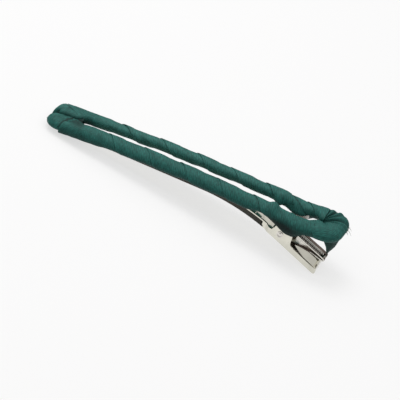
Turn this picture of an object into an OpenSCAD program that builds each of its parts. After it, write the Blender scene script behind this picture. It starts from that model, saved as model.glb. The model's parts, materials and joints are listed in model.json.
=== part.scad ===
// Duckbill hair clip: a hollow sprung frame wound with satin ribbon over a bare metal jaw and lever.
// Everything is drawn along the frame's own plane: X from the tip to the tail, Y across, Z up.
// The clip is then laid on its arm tip and its lever end, as it rests on a flat surface.

/* [Frame] */
// Length of the ribbon-wound frame
clip_l = 75; // [70:1:80]
// How far the middle of the frame bows up above its ends
arch_rise = 1.7; // [1.4:0.1:2]
// Distance from the mid line to the middle of a rail, at the tip
rail_c_tip = 3.65; // [3.5:0.05:3.8]
// Distance from the mid line to the middle of a rail, at the tail
rail_c_tail = 4.55; // [4.45:0.05:4.65]
// Width of the metal strip inside each rail
rail_w = 2.0; // [1.6:0.1:2.2]
// Thickness of the frame's sheet metal
frame_t = 0.6; // [0.5:0.05:0.7]
// Outward slope of each rail, in degrees
dome = 22; // [15:1:24]

/* [Ribbon] */
// Width of a wound rail, across its slope
wound_w = 3.9; // [3.6:0.1:4]
// Thickness of a wound rail
wound_t = 2.7; // [2.4:0.1:2.8]
// Height of the step where one turn of ribbon laps the next
lap_h = 0.16; // [0.08:0.02:0.2]
// Distance from one turn of ribbon to the next
lap_pitch = 5.8; // [5:0.1:7]
// Thickness of the second layer near the hinge and tail
second_layer = 0.2; // [0.12:0.02:0.24]
// Drop of the gathered ribbon that hangs beside the hinge
gather_drop = 1.3; // [0.9:0.05:1.5]
// Depth of the pleats at the tail
pleat_h = 0.2; // [0.1:0.05:0.25]

/* [Lower jaw] */
// Thickness of the lower jaw's sheet metal
jaw_t = 0.45; // [0.4:0.05:0.5]
// Half width of the arm at its tip
arm_tip_half = 2.1; // [1.8:0.1:2.3]
// Half width of the arm where it meets the hinge
arm_root_half = 3.3; // [3.2:0.05:3.35]
// Half width of the hinge ears and the lever
lever_half = 3.75; // [3.75:0.05:3.8]
// Height of the turned-up edges
flange_h = 1.3; // [1.1:0.1:1.4]
// Slope of the lever below the frame, in degrees
lever_dip = 22.4; // [21:0.2:23]
// Where the lever ends, from the frame's tip
lever_end_x = 71.7; // [71:0.1:72.5]

/* [Hinge] */
// Radius of the hinge pin
pin_r = 0.5; // [0.45:0.05:0.55]
// Radial clearance of the pin in the ears
pin_gap = 0.05; // [0.03:0.01:0.08]
// Radius of the pin's flattened heads
pin_head_r = 0.72; // [0.65:0.01:0.8]

/* [Spring] */
// Width of the spring strip
spring_w = 3.4; // [3:0.1:3.6]
// Thickness of the spring strip
spring_t = 0.3; // [0.25:0.05:0.35]

/* [Hidden] */

// Frame
mid_x = clip_l / 2;
arch_r = (mid_x * mid_x + arch_rise * arch_rise) / (2 * arch_rise);
splay = atan((rail_c_tail - rail_c_tip) / clip_l);
core_gap = 0.1;               // between the metal and the ribbon
metal_tip_x = 1.4;            // where the metal begins and ends
metal_tail_x = 73.4;
tip_slot_x = 4.6;             // ends of the slot in the metal
tail_slot_x = 69.6;
tail_plan = [                 // outline of the metal at the tail, rounder on the near side
    [63, -6.5], [63.2, -5.4], [66, -4.75], [69, -4.2], [71, -3.7], [72.7, -2.6], [73.4, -1.2],
    [73.4, 2.6], [72.6, 4.1], [70.5, 5.2], [66.5, 6.5]
];

// Pivot and the frame's ears
pivot_x = 61.4;
pivot_z = -3.7;
ear_in_y = 2.65;
ear_in_t = 0.5;
ear_in_r = 1.15;
ear_root = [62.3, 65.6];      // where the frame's ear grows out of the rail
ear_shelf_t = 0.4;
ear_rise = 0.45;              // top of the ear above the line of the arch

// Lower jaw: underside line of the arm, bend and lever
arm_tip_x = 2.6;
arm_tip_z = -1.72;
arm_bend_x = 40;
arm_bend_z = -1.31;
bend_r = 52;
arm_rise = atan((arm_bend_z - arm_tip_z) / (arm_bend_x - arm_tip_x));
bend_cx = arm_bend_x + bend_r * sin(arm_rise);
bend_cz = arm_bend_z - bend_r * cos(arm_rise);
lever_x0 = bend_cx + bend_r * sin(lever_dip);
lever_z0 = bend_cz + bend_r * cos(lever_dip);
lever_end_z = lever_z0 - (lever_end_x - lever_x0) * tan(lever_dip);
foot_l = 0.22;                // small flat under the lever's end edge, where it rests
joggle_x = 57.5;              // where the arm steps out to the width of the ears
joggle_l = 0.8;
ear_front_x = 59.6;
ear_back_x = 64.4;
ear_top_z = -1.3;
ear_round = 1.7;

// Ribbon
rail_front_x = 4.3;
rail_back_x = 69.2;
part_gap = 0.08;              // between two lengths of winding that butt
tip_lift = 0.25;              // how far the wound tip stands above the line of the arch
near_end = [0.95, 0.35];      // how far the near and the far winding turn in and rise at the tail
far_end = [0, 0.8];
lobe_gap = 0.12;              // from the mid line to a winding where the slot is closed
ring_step = 1.05;             // length between rings of points, and points in a ring
ring_n = 24;
knot_x = 57.9;                // a lump of ribbon that almost closes the slot ahead of the hinge
knot_half = 1.7;
knot_h = 0.75;
near_knot = 125;              // way round the winding where the lump lies
far_knot = 215;
gather_x = [58.8, 63.6, 64.2, 67.2]; // gather begins, is full, starts to fall, ends
waist_x = 56.3;               // where the ribbon is drawn in tight below, ahead of the gather
waist_reach = [0.8, 4.2];     // the waist is deepest this near its middle, and ends this far from it
waist_h = 0.55;
waist_at = 320;               // way round the winding where the waist is deepest

// Rest pose: the line through the arm's tip and the lever's end is level
rest_tilt = atan((arm_tip_z - lever_end_z) / (lever_end_x - arm_tip_x));
rest_drop = arm_tip_x * sin(rest_tilt) + arm_tip_z * cos(rest_tilt);
rest_mid_x = 37.04;           // middle of the laid clip's length
rest_mid_y = 0.1;

function arch(x) = arch_rise * (1 - pow((x - mid_x) / mid_x, 2));
function rail_c(x) = rail_c_tip + (rail_c_tail - rail_c_tip) * x / clip_l;
function ramp(x, a, b) = x <= a ? 0 : x >= b ? 1 : let (u = (x - a) / (b - a)) u * u * (3 - 2 * u);
function wrap01(u) = u - floor(u);

module place() {
    translate([-rest_mid_x, -rest_mid_y, -rest_drop]) rotate([0, -rest_tilt, 0]) children();
}

// A 2D shape in X and Z, given a width across the clip
module across(y0, y1) {
    translate([0, y1, 0]) rotate([90, 0, 0]) linear_extrude(height = y1 - y0) children();
}

// A 2D section (height above the arch, distance across) run along the arch from x0 to x1
module along_arch(x0, x1) {
    from = acos((x1 - mid_x) / arch_r);
    to = acos((x0 - mid_x) / arch_r);
    translate([mid_x, 0, arch_rise - arch_r]) rotate([90, -from, 0])
        rotate_extrude(angle = to - from, $fn = 2160) translate([arch_r, 0]) children();
}

// One sloping rail in section, on the side where Y is positive
module rail_section(grow) {
    rotate(dome) square([frame_t + 2 * grow, rail_w + 2 * grow], center = true);
}

module rail_metal(grow, x0, x1) {
    translate([0, rail_c_tip, 0]) rotate([0, 0, splay]) along_arch(x0, x1) mirror([0, 1]) rail_section(grow);
}

// The flat between the rails, at the height of their inner edges
module web_metal(grow, x0, x1) {
    half = rail_c((x0 + x1) / 2) - cos(dome) * rail_w / 2 + 0.25;
    lift = sin(dome) * rail_w / 2;
    along_arch(x0 - grow, x1 + grow)
        translate([lift, 0]) square([frame_t + 2 * grow, 2 * (half + grow)], center = true);
}

// The shelf that carries an ear, widening the rail towards the slot, on the side where Y is positive
module ear_shelf(grow) {
    reach = (rail_c(ear_root[0]) - ear_in_y - 0.2) / cos(dome);
    translate([0, rail_c_tip, 0]) rotate([0, 0, splay]) along_arch(ear_root[0] - grow, ear_root[1] + grow)
        mirror([0, 1]) rotate(dome) translate([-ear_shelf_t / 2 - grow, -reach - grow])
            square([ear_shelf_t + 2 * grow, reach + grow]);
}

// Outline of the metal from above, grown by a clearance
module metal_outline(grow) {
    tail = [for (p = tail_plan) [p[0] + grow, p[1] + sign(p[1]) * grow]];
    translate([0, 0, -12]) linear_extrude(height = 24)
        polygon(concat([[-1, 6.5], [-1, -6.5]], tail));
}

module both_sides() {
    children();
    mirror([0, 1, 0]) children();
}

// One of the frame's ears, which hangs from the rail, leans forward and is bored for the pin
module frame_ear() {
    top = arch(ear_root[0]) + ear_rise;
    across(ear_in_y, ear_in_y + ear_in_t) difference() {
        union() {
            translate([pivot_x, pivot_z]) circle(r = ear_in_r, $fn = 64);
            polygon([
                [ear_root[0], top], [ear_root[1], top], [ear_root[1], -0.4],
                [pivot_x + 0.8, pivot_z - 0.82], [pivot_x - 1.1, pivot_z + 0.32]
            ]);
        }
        translate([pivot_x, pivot_z]) circle(r = pin_r + pin_gap, $fn = 48);
    }
}

// Sheet-metal loop inside the ribbon: two rails, the closed tip and tail, and the ears for the hinge
module frame_plate() {
    color([0.78, 0.78, 0.76]) intersection() {
        union() {
            both_sides() {
                rail_metal(0, metal_tip_x, metal_tail_x);
                ear_shelf(0);
                frame_ear();
            }
            web_metal(0, metal_tip_x, tip_slot_x);
            web_metal(0, tail_slot_x, metal_tail_x);
        }
        metal_outline(0);
    }
}

// Space that the metal takes in the ribbon
module metal_space() {
    intersection() {
        union() {
            both_sides() {
                rail_metal(core_gap, metal_tip_x - core_gap, metal_tail_x + core_gap);
                ear_shelf(core_gap);
            }
            web_metal(core_gap, metal_tip_x, tip_slot_x);
            web_metal(core_gap, tail_slot_x, metal_tail_x);
        }
        metal_outline(core_gap);
    }
    below = 3;
    ahead = 1;
    both_sides() translate([ear_root[0] - ahead, ear_in_y - core_gap, -below])
        cube([ear_root[1] - ear_root[0] + ahead + core_gap, ear_in_t + 2 * core_gap,
              arch(ear_root[0]) + ear_rise + core_gap + below]);
}

// Half width of a winding towards the slot: the two windings close up at both ends of the slot
function reach_in(x, inset) =
    let (full = (rail_c(x) - inset - lobe_gap) / cos(slope(x)))
    let (near_end = max(1 - ramp(x, 5.6, 9), ramp(x, 66.2, 69)))
    wound_w / 2 + (full - wound_w / 2) * near_end;
function slope(x) = dome * (0.35 + 0.65 * ramp(x, 4, 14)) * (1 - 0.5 * ramp(x, 66, 69.2));
function knot(x, t, at) =
    let (u = (x - knot_x) / knot_half, v = cos(t - at)) abs(u) < 1 && v > 0 ? knot_h * pow(1 - u * u, 2) * v : 0;
function layer(x, t, start) =
    lap_h * wrap01(x / lap_pitch - t / 360 + start) + second_layer * ramp(x, 57.5, 59);
function gather(x, t) =
    gather_drop * ramp(x, gather_x[0], gather_x[1]) * (1 - ramp(x, gather_x[2], gather_x[3]))
    * (t > 271 ? pow(sin((t - 271) * 2), 0.6) : 0);
function waist(x, t) =
    waist_h * (1 - ramp(abs(x - waist_x), waist_reach[0], waist_reach[1])) * max(0, cos(t - waist_at));

// A point on a winding: t runs from the outer edge over the top to the slot and back below.
// Towards the tail the winding turns in by curl and rises by lift.
function wound_point(x, t, start, at, curl, lift) =
    let (more = layer(x, t, start) + knot(x, t, at) - waist(x, t))
    let (fall = gather(x, t), end = ramp(x, 64, 69.3))
    let (inward = reach_in(x, curl * end) + (more - lap_h) * ramp(x, 56, 57) * (1 - ramp(x, 66, 68)))
    let (u = cos(t) * (cos(t) < 0 ? inward : wound_w / 2 + more))
    let (v = sin(t) * (wound_t / 2 + more))
    let (a = slope(x), raise = lift * end + tip_lift * (1 - ramp(x, 4, 16)))
    [x, rail_c(x) - curl * end + u * cos(a) + v * sin(a) + 0.15 * fall,
     arch(x) + raise - u * sin(a) + v * cos(a) - fall];

// A closed solid through rings of points, each ring in the order that turns from Y to Z
module loft(rings) {
    n = len(rings[0]);
    m = len(rings);
    points = [for (ring = rings) for (p = ring) p];
    sides = [for (i = [0:m - 2]) for (j = [0:n - 1])
        let (a = i * n + j, b = i * n + (j + 1) % n)
        each [[a, b, b + n], [a, b + n, a + n]]];
    ends = [[for (j = [0:n - 1]) n - 1 - j], [for (j = [0:n - 1]) (m - 1) * n + j]];
    polyhedron(points, concat(sides, ends));
}

module rail_winding(start, at, end) {
    count = round((rail_back_x - rail_front_x) / ring_step);
    rings = [for (i = [0:count])
        let (x = rail_front_x + (rail_back_x - rail_front_x) * i / count)
        [for (j = [0:ring_n - 1]) wound_point(x, 360 * j / ring_n, start, at, end[0], end[1])]];
    loft(rings);
}

module ribbon_far_rail() {
    color([0.16, 0.38, 0.33]) difference() {
        rail_winding(0.15, far_knot, far_end);
        metal_space();
    }
}

module ribbon_near_rail() {
    color([0.18, 0.40, 0.35]) difference() {
        mirror([0, 1, 0]) rail_winding(0.55, near_knot, near_end);
        metal_space();
    }
}

// Ring of a folded end: two lobes with a crease between them.
// A lobe is given by its middle, its reach outwards, its half thickness and how far it stands up.
// The crease lies on the mid line and is as deep as the lobes are round.
// The last number of a point says how far it belongs to the underside.
function lobe(form, z, a, side, n) =
    let (c = form[0], inner = c * 1.13, edge = acos(-c / inner))
    [for (k = [0:n]) let (t = edge * (2 * k / n - 1))
        let (u = cos(t) * (cos(t) < 0 ? inner : form[1]), v = form[2] * sin(t))
        let (middle = ramp(-u / c, 0.2, 1))
        [side * (c + u * cos(a)), z + form[3] * (1 - 0.5 * middle) - u * sin(a) * (1 - 0.5 * middle) + v,
         ramp(-t, 25, 65)]];
function fold_ring(x, far, near, a) =
    let (n = 13, f = lobe(far, arch(x), a, 1, n), g = lobe(near, arch(x), a, -1, n))
    [for (p = f) [x, p[0], p[1], p[2]], for (k = [0:n]) [x, g[n - k][0], g[n - k][1], g[n - k][2]]];

// Tip: columns are x, then middle, reach, half thickness and stand of both lobes
tip_rows = [
    [-0.3, 2.0, 1.3, 0.4, 0.75],
    [0.0, 2.5, 1.6, 0.85, 0.75],
    [0.7, 3.0, 2.0, 1.2, 0.7],
    [1.7, 3.4, 2.1, 1.4, 0.6],
    [3.0, 3.62, 2.1, 1.45, 0.45],
    [rail_front_x - part_gap, 3.7, 2.05, 1.45, 0.35]
];

module ribbon_tip() {
    rings = [for (r = tip_rows) let (form = [r[1], r[2], r[3], r[4]])
        [for (p = fold_ring(r[0], form, form, 7)) [p[0], p[1], p[2]]]];
    color([0.17, 0.39, 0.34]) difference() {
        loft(rings);
        metal_space();
    }
}

// Tail: columns are x, then middle, reach, half thickness and stand of the far lobe and of the near one,
// and how far down the tucked end of the ribbon reaches there
tail_rows = [
    [rail_back_x + part_gap, 4.45, 2.2, 1.8, 1.15, 3.75, 2.0, 1.6, 0.55, 0],
    [70.4, 4.5, 2.35, 1.95, 1.3, 3.65, 1.95, 1.6, 0.6, 0],
    [71.6, 4.5, 2.4, 1.95, 1.25, 3.45, 1.85, 1.55, 0.6, 0],
    [72.2, 4.45, 2.35, 1.85, 1.1, 3.3, 1.8, 1.5, 0.55, 0.7],
    [72.9, 4.35, 2.25, 1.7, 0.95, 2.9, 1.7, 1.4, 0.5, 1],
    [73.6, 4.2, 2.1, 1.5, 0.75, 2.55, 1.45, 1.25, 0.45, 0.62],
    [74.3, 4.0, 1.8, 1.15, 0.5, 2.0, 1.15, 1.0, 0.35, 0.25],
    [75.0, 3.5, 1.2, 0.5, 0.3, 1.3, 0.6, 0.5, 0.3, 0]
];
tuck_y = 0.9;                 // the tucked end's point
tuck_z = -5.95;
tuck_top = -1.0;
tuck_half = [5.0, 4.0];       // half width of the tucked end at its top, near and far side

// Pleats fan out from the inner corner of the loop
function pleated(p) =
    let (turn = atan2(p[1] - 0.6, p[0] - 68.4), top = ramp(p[2], -0.2, 0.6))
    [p[0], p[1], p[2] + pleat_h * top * cos(turn * 5 + 40) * ramp(p[0], 69.4, 70.6), p[3]];

// The underside is drawn down to a point, where the ribbon's end is tucked in at the spring
function tucked(p, deep) =
    let (away = p[1] - tuck_y, part = 1 - abs(away) / (away < 0 ? tuck_half[0] : tuck_half[1]))
    let (line = tuck_top + (tuck_z - tuck_top) * part)
    [p[0], p[1], part > 0 ? p[2] + p[3] * deep * min(0, line - p[2]) : p[2]];

module ribbon_tail() {
    rings = [for (r = tail_rows)
        [for (p = fold_ring(r[0], [r[1], r[2], r[3], r[4]], [r[5], r[6], r[7], r[8]], 9))
            tucked(pleated(p), r[9])]];
    color([0.15, 0.36, 0.31]) difference() {
        loft(rings);
        metal_space();
    }
}

// Band above the lower jaw's underside line, from one height to another
module jaw_band(lo, hi) {
    over = 4;
    lap = 0.3;
    far = bend_r + over;
    translate([arm_bend_x, arm_bend_z]) rotate(arm_rise)
        translate([arm_tip_x - arm_bend_x - over, lo]) square([arm_bend_x - arm_tip_x + over + lap, hi - lo]);
    translate([bend_cx, bend_cz]) intersection() {
        difference() {
            circle(r = bend_r + hi, $fn = 720);
            circle(r = bend_r + lo, $fn = 720);
        }
        polygon([[0, 0], far * [-sin(arm_rise), cos(arm_rise)], far * [sin(lever_dip), cos(lever_dip)]]);
    }
    translate([lever_x0, lever_z0]) rotate(-lever_dip) translate([-lap, lo])
        square([lap + lever_end_x - lever_x0 + over, hi - lo]);
}

// Outline of the lower jaw from above, set in from its edges
module jaw_outline(inset) {
    tip_r = 1.2;
    corner = 0.7;
    root = arm_root_half - inset;
    side = lever_half - inset;
    end_x = lever_end_x + foot_l - inset;
    difference() {
        polygon([
            [arm_tip_x, -arm_tip_half + inset], [joggle_x, -root], [joggle_x + joggle_l, -side],
            [end_x, -side], [end_x, side],
            [joggle_x + joggle_l, side], [joggle_x, root], [arm_tip_x, arm_tip_half - inset]
        ]);
        for (s = [-1, 1]) {
            translate([arm_tip_x, s * arm_tip_half]) difference() {
                square(2 * tip_r, center = true);
                translate([tip_r, -s * tip_r]) circle(r = tip_r, $fn = 48);
            }
            translate([end_x, s * side]) difference() {
                square(2 * corner, center = true);
                translate([-corner, -s * corner]) circle(r = corner, $fn = 48);
            }
        }
    }
}

module jaw_slab(lo, hi, inset) {
    intersection() {
        across(-6, 6) jaw_band(lo, hi);
        translate([0, 0, -20]) linear_extrude(height = 30) jaw_outline(inset);
    }
}

// One ear of the lower jaw in side view
module jaw_ear_shape() {
    fillet = 1.0;
    foot_front = lever_z0 - (ear_front_x - lever_x0) * tan(lever_dip);
    foot_back = lever_z0 - (ear_back_x - lever_x0) * tan(lever_dip);
    edge_front = foot_front + flange_h / cos(lever_dip);
    edge_back = foot_back + flange_h / cos(lever_dip);
    top_x = ear_front_x + ear_round;
    difference() {
        union() {
            translate([top_x, ear_top_z - ear_round]) circle(r = ear_round, $fn = 64);
            polygon([
                [ear_front_x - fillet, foot_front + 0.5], [ear_front_x - fillet, edge_front + fillet * 0.9],
                [ear_front_x, edge_front + fillet * 0.9], [ear_front_x, ear_top_z - ear_round],
                [top_x, ear_top_z], [ear_back_x - 0.9, ear_top_z - 0.5], [ear_back_x - 0.1, ear_top_z - 1.3],
                [ear_back_x, edge_back + fillet * 0.75], [ear_back_x + fillet, edge_back + fillet * 0.75],
                [ear_back_x + fillet, foot_back - 0.3]
            ]);
        }
        translate([ear_front_x - fillet, edge_front + fillet * 1.15]) circle(r = fillet, $fn = 48);
        translate([ear_back_x + fillet, edge_back + fillet * 0.75]) circle(r = fillet, $fn = 48);
        translate([pivot_x, pivot_z]) circle(r = pin_r + pin_gap, $fn = 48);
    }
}

// Lower jaw: narrow arm, hinge ears and thumb lever from one sheet with turned-up edges
module lower_jaw() {
    above = 4;
    below = 1;
    fade_x = 24;
    tip_lip = 0.02;
    color([0.82, 0.80, 0.76]) union() {
        difference() {
            jaw_slab(0, flange_h, 0);
            jaw_slab(jaw_t, flange_h + above, jaw_t);
            // The edges fade out towards the tip
            across(-6, 6) polygon([
                [-2, arm_tip_z + jaw_t], [arm_tip_x, arm_tip_z + jaw_t + tip_lip],
                [fade_x, arm_tip_z + flange_h + (fade_x - arm_tip_x) * tan(arm_rise)],
                [fade_x, above], [-2, above]
            ]);
            // The end edge is flat where it rests
            across(-6, 6) translate([lever_end_x, lever_end_z]) rotate(-rest_tilt)
                translate([0, -below]) square([2, below]);
        }
        both_sides() across(lever_half - jaw_t, lever_half) jaw_ear_shape();
    }
}

// Pin through the four ears, with a flattened head on each side
module hinge_pin() {
    head_t = 0.2;
    head_gap = 0.02;
    half = lever_half + head_gap;
    color([0.72, 0.71, 0.68]) union() {
        translate([pivot_x, half, pivot_z]) rotate([90, 0, 0]) cylinder(r = pin_r, h = 2 * half, $fn = 48);
        both_sides() translate([pivot_x, half + head_t, pivot_z])
            rotate([90, 0, 0]) cylinder(r = pin_head_r, h = head_t, $fn = 48);
    }
}

// Middle line of the spring strip: over the pin, back to the fold, forward and down to the lever
spring_line = [
    [60.1, -2.95], [60.6, -2.5], [61.4, -2.3], [62.3, -2.38], [63.3, -2.68], [65.9, -3.72], [69.3, -5.05], [72.3, -6.26],
    [72.72, -6.48], [72.8, -6.72], [72.6, -6.86], [72.2, -6.82],
    [70.1, -6.27], [68.1, -5.86], [66.2, -5.64], [64.6, -5.66], [63.3, -5.62], [62.2, -5.22], [60.4, -4.47]
];

function unit(v) = v / norm(v);
function normal_at(line, i) =
    let (a = line[max(i - 1, 0)], b = line[min(i + 1, len(line) - 1)], d = unit(b - a)) [-d[1], d[0]];

module leaf_spring() {
    n = len(spring_line);
    upper = [for (i = [0:n - 1]) spring_line[i] + normal_at(spring_line, i) * spring_t / 2];
    lower = [for (i = [0:n - 1]) spring_line[n - 1 - i] - normal_at(spring_line, n - 1 - i) * spring_t / 2];
    color([0.68, 0.67, 0.64]) across(-spring_w / 2, spring_w / 2) polygon(concat(upper, lower));
}

place() frame_plate();
place() ribbon_far_rail();
place() ribbon_near_rail();
place() ribbon_tip();
place() ribbon_tail();
place() lower_jaw();
place() hinge_pin();
place() leaf_spring();
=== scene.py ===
import json
import math

import bmesh
import bpy
import numpy as np
from mathutils import Matrix, Vector


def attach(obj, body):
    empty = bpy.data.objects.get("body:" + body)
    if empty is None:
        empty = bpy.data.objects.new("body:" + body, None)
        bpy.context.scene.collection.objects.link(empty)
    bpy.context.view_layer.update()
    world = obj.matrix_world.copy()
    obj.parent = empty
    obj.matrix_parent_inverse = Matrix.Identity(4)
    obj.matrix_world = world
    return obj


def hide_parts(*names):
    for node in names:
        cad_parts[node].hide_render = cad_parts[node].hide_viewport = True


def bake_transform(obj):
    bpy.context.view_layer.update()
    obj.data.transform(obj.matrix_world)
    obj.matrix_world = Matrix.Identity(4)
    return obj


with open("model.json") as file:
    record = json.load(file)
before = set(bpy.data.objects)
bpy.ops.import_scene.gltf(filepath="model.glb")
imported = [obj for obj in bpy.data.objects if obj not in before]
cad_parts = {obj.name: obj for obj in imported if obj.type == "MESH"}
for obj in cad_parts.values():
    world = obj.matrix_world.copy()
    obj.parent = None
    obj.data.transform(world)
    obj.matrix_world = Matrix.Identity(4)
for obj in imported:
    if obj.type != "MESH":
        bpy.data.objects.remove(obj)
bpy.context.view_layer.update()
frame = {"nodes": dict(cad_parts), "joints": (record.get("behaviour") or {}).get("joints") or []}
mm = 0.001

# The clip as it lies: tilt in degrees about the hinge, hinge in metres, pivot in the clip's own lengths in mm
rest = {"tilt": 6.7463, "hinge": frame["joints"][0]["pos_m"], "pivot": (61.4, 0.0, -3.7)}


def ramp(x, a, b):
    u = np.clip((np.asarray(x, float) - a) / (b - a), 0, 1)
    return u * u * (3 - 2 * u)


def eased(x, places, values):  # level at each place, and smooth from one to the next
    total = values[0]
    for k in range(1, len(places)):
        total = total + (values[k] - values[k - 1]) * ramp(x, places[k - 1], places[k])
    return total


def hill(away, wide):
    return np.exp(-(away / wide) ** 2)


def facing(turn, face):  # 1 on the given side of a rail, 0 on the other half
    return np.clip(np.cos(np.radians(turn - face)), 0, 1)


def curveThrough(x, xs, ys):  # smooth curve through the points of a table
    xs, ys = np.asarray(xs, float), np.asarray(ys, float)
    slopes = np.gradient(ys, xs)
    x = np.clip(x, xs[0], xs[-1])
    i = np.clip(np.searchsorted(xs, x, side="right") - 1, 0, len(xs) - 2)
    h = xs[i + 1] - xs[i]
    u = (x - xs[i]) / h
    a, b = ys[i], ys[i + 1]
    bendA, bendB = slopes[i] * h, slopes[i + 1] * h
    return (a * (1 + 2 * u) * (1 - u) ** 2 + bendA * u * (1 - u) ** 2
            + b * u * u * (3 - 2 * u) + bendB * u * u * (u - 1))


def waves(a, b, seed, longest):  # gentle unevenness over two coordinates, about -1 to 1
    draw = np.random.default_rng(seed)
    total = np.zeros(np.broadcast(a, b).shape)
    for _ in range(7):
        turn, size, start = draw.uniform(0, 2 * math.pi), draw.uniform(0.35, 1), draw.uniform(0, 2 * math.pi)
        step = 2 * math.pi / (longest * size)
        total += np.sin((a * math.cos(turn) + b * math.sin(turn)) * step + start) / 3.2
    return total


def toWorld(points):  # clip's own mm to metres in the shared frame
    away = np.asarray(points, float) - np.array(rest["pivot"])
    c, s = math.cos(math.radians(rest["tilt"])), math.sin(math.radians(rest["tilt"]))
    turned = np.stack([away[..., 0] * c - away[..., 2] * s, away[..., 1],
                       away[..., 0] * s + away[..., 2] * c], -1)
    return turned * mm + np.array(rest["hinge"])


def toClip(points):  # and back
    away = (np.asarray(points, float) - np.array(rest["hinge"])) / mm
    c, s = math.cos(math.radians(rest["tilt"])), math.sin(math.radians(rest["tilt"]))
    turned = np.stack([away[..., 0] * c + away[..., 2] * s, away[..., 1],
                       away[..., 2] * c - away[..., 0] * s], -1)
    return turned + np.array(rest["pivot"])


# Mesh helpers

def shellPiece(name, layers, wraps=False):
    # layers: dictionaries with outer and inner grids in clip mm, uv in mm and edge marks, which carry painted
    # light and painted shade (for the threads, their own paler tone)
    points, faces, faceUvs, marks = [], [], [], []
    for layer in layers:
        outer, inner, uv, edge = layer["outer"], layer["inner"], layer["uv"], layer["edge"]
        rows, cols = outer.shape[:2]
        base, count = sum(len(p) for p in points), rows * cols
        points += [outer.reshape(-1, 3), inner.reshape(-1, 3)]
        marks += [edge.reshape(-1), edge.reshape(-1)]

        def addFace(corners):  # corners: 0 for the outer grid or 1 for the inner, row, column
            faces.append([base + side * count + i * cols + j % cols for side, i, j in corners])
            faceUvs.append([uv[i, j] for _, i, j in corners])

        end = rows - 1
        last = cols if wraps else cols - 1
        for i in range(end):
            for j in range(last):
                square = [(i, j), (i, j + 1), (i + 1, j + 1), (i + 1, j)]
                addFace([(0, *corner) for corner in square])
                addFace([(1, *corner) for corner in reversed(square)])
        walls = [((0, j), (0, j + 1)) for j in range(last)]
        walls += [((end, j + 1), (end, j)) for j in range(last)]
        if not wraps:
            walls += [((i + 1, 0), (i, 0)) for i in range(end)]
            walls += [((i, last), (i + 1, last)) for i in range(end)]
        for a, b in walls:
            addFace([(0, *a), (1, *a), (1, *b), (0, *b)])
    mesh = bpy.data.meshes.new(name)
    mesh.from_pydata(toWorld(np.concatenate(points)).tolist(), [], faces)
    mesh.uv_layers.new(name="ribbonUv").data.foreach_set(
        "uv", np.array([c for f in faceUvs for c in f], np.float32).reshape(-1))
    mesh.attributes.new("paintedLightShadeAndTone", "FLOAT", "POINT").data.foreach_set(
        "value", np.concatenate(marks).astype(np.float32))
    piece = bpy.data.objects.new(name, mesh)
    bpy.context.collection.objects.link(piece)
    work = bmesh.new()
    work.from_mesh(mesh)
    bmesh.ops.remove_doubles(work, verts=work.verts, dist=0.002 * mm)
    bmesh.ops.dissolve_degenerate(work, dist=0.001 * mm, edges=work.edges)
    bmesh.ops.recalc_face_normals(work, faces=work.faces)
    work.to_mesh(mesh)
    work.free()
    mesh.polygons.foreach_set("use_smooth", [True] * len(mesh.polygons))
    return piece


def insideOf(grid, thick, wraps):  # the same grid moved in by the sheet's thickness
    padded = np.concatenate([grid[:, -1:], grid, grid[:, :1]], 1) if wraps else grid
    along = np.gradient(padded, axis=0)
    across = np.gradient(padded, axis=1)
    normal = np.cross(along, across)
    normal /= np.maximum(np.linalg.norm(normal, axis=-1, keepdims=True), 1e-9)
    if wraps:
        normal = normal[:, 1:-1]
    middle = grid.mean(axis=1, keepdims=True)
    outward = np.sign((normal * (grid - middle)).sum(-1).mean())
    return grid - outward * normal * thick


def ringLengths(grid):  # distance round each ring of a closed grid
    closed = np.concatenate([grid, grid[:, :1]], 1)
    steps = np.linalg.norm(np.diff(closed, axis=1), axis=-1)
    return np.concatenate([np.zeros((len(grid), 1)), np.cumsum(steps, 1)], 1)


# Materials

def feed(tree, socket, value):  # another socket is linked, anything else is set as the value
    if isinstance(value, bpy.types.NodeSocket):
        tree.links.new(value, socket)
    else:
        socket.default_value = value


def feedAll(tree, node, inputs):
    for label, value in inputs.items():
        feed(tree, node.inputs[label], value)


def nodeOf(tree, kind, place, *ordered, **named):
    # ordered inputs come first to last; a name is a setting of the node or one of its inputs
    node = tree.nodes.new(kind)
    node.location = place
    for key, value in named.items():
        if hasattr(node, key):
            setattr(node, key, value)
        else:
            feed(tree, node.inputs[key], value)
    for socket, value in zip(node.inputs, ordered):
        feed(tree, socket, value)
    return node


def mathOf(tree, place, operation, *ordered):
    return nodeOf(tree, "ShaderNodeMath", place, *ordered, operation=operation).outputs[0]


def scaleOf(tree, place, colour, scale):
    return nodeOf(tree, "ShaderNodeVectorMath", place, colour, operation="SCALE", Scale=scale).outputs[0]


def mappingOf(tree, place, vector, **named):
    return nodeOf(tree, "ShaderNodeMapping", place, Vector=vector, **named).outputs["Vector"]


def rangeOf(tree, place, value, source, shown, **settings):  # a value carried from one range to another
    ends = dict(zip(("From Min", "From Max", "To Min", "To Max"), (*source, *shown)))
    return nodeOf(tree, "ShaderNodeMapRange", place, **settings, Value=value, **ends).outputs[0]


def mixOf(tree, place, share, first, second):
    mix = nodeOf(tree, "ShaderNodeMix", place, share, data_type="RGBA")
    feed(tree, mix.inputs[6], first)
    feed(tree, mix.inputs[7], second)
    return mix.outputs[2]


def newGroup(name, ins, outs):
    group = bpy.data.node_groups.new(name, "ShaderNodeTree")
    for label, kind, value in ins:
        socket = group.interface.new_socket(label, in_out="INPUT", socket_type=kind)
        socket.default_value = value
    for label, kind in outs:
        group.interface.new_socket(label, in_out="OUTPUT", socket_type=kind)
    return group, group.nodes.new("NodeGroupInput"), group.nodes.new("NodeGroupOutput")


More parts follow.
